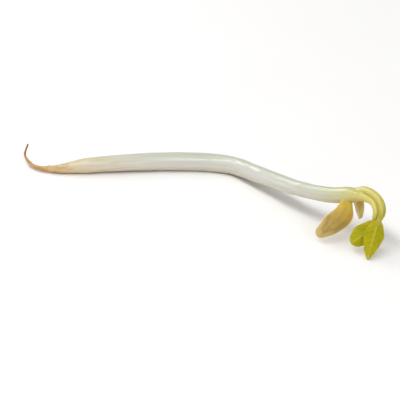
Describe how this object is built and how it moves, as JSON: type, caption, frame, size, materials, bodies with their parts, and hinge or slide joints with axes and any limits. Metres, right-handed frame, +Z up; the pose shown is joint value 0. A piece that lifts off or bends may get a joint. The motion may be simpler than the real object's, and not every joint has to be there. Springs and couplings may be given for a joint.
{
  "type": "mung bean sprout",
  "caption": "Picked mung bean sprout lying down: long white stem with a thin tan root at one end and, at the other, bean halves, a hooked yellow neck and small green leaves.",
  "frame": {"origin": "middle of the footprint, on the surface the sprout lies on", "axes": "+X from the root to the head, +Z up from the surface, +Y to the side the stem bows to"},
  "size_m": [0.0792, 0.0234, 0.0103],
  "materials": {
    "root_skin": "moist root skin, tan, satin",
    "stem_tissue": "crisp white stem tissue, translucent, moist satin",
    "neck_tissue": "yellow-green stem tissue, translucent, satin",
    "bean_flesh": "shrunken bean flesh, yellow to brown, matt",
    "leaf_blade": "young leaf, yellow-green, satin"
  },
  "bodies": {
    "root": {"root": "root_skin", "hypocotyl": "stem_tissue", "epicotyl": "neck_tissue", "cotyledon_near": "bean_flesh", "cotyledon_far": "bean_flesh", "leaf_long": "leaf_blade", "leaf_short": "leaf_blade"}
  },
  "joints": []
}
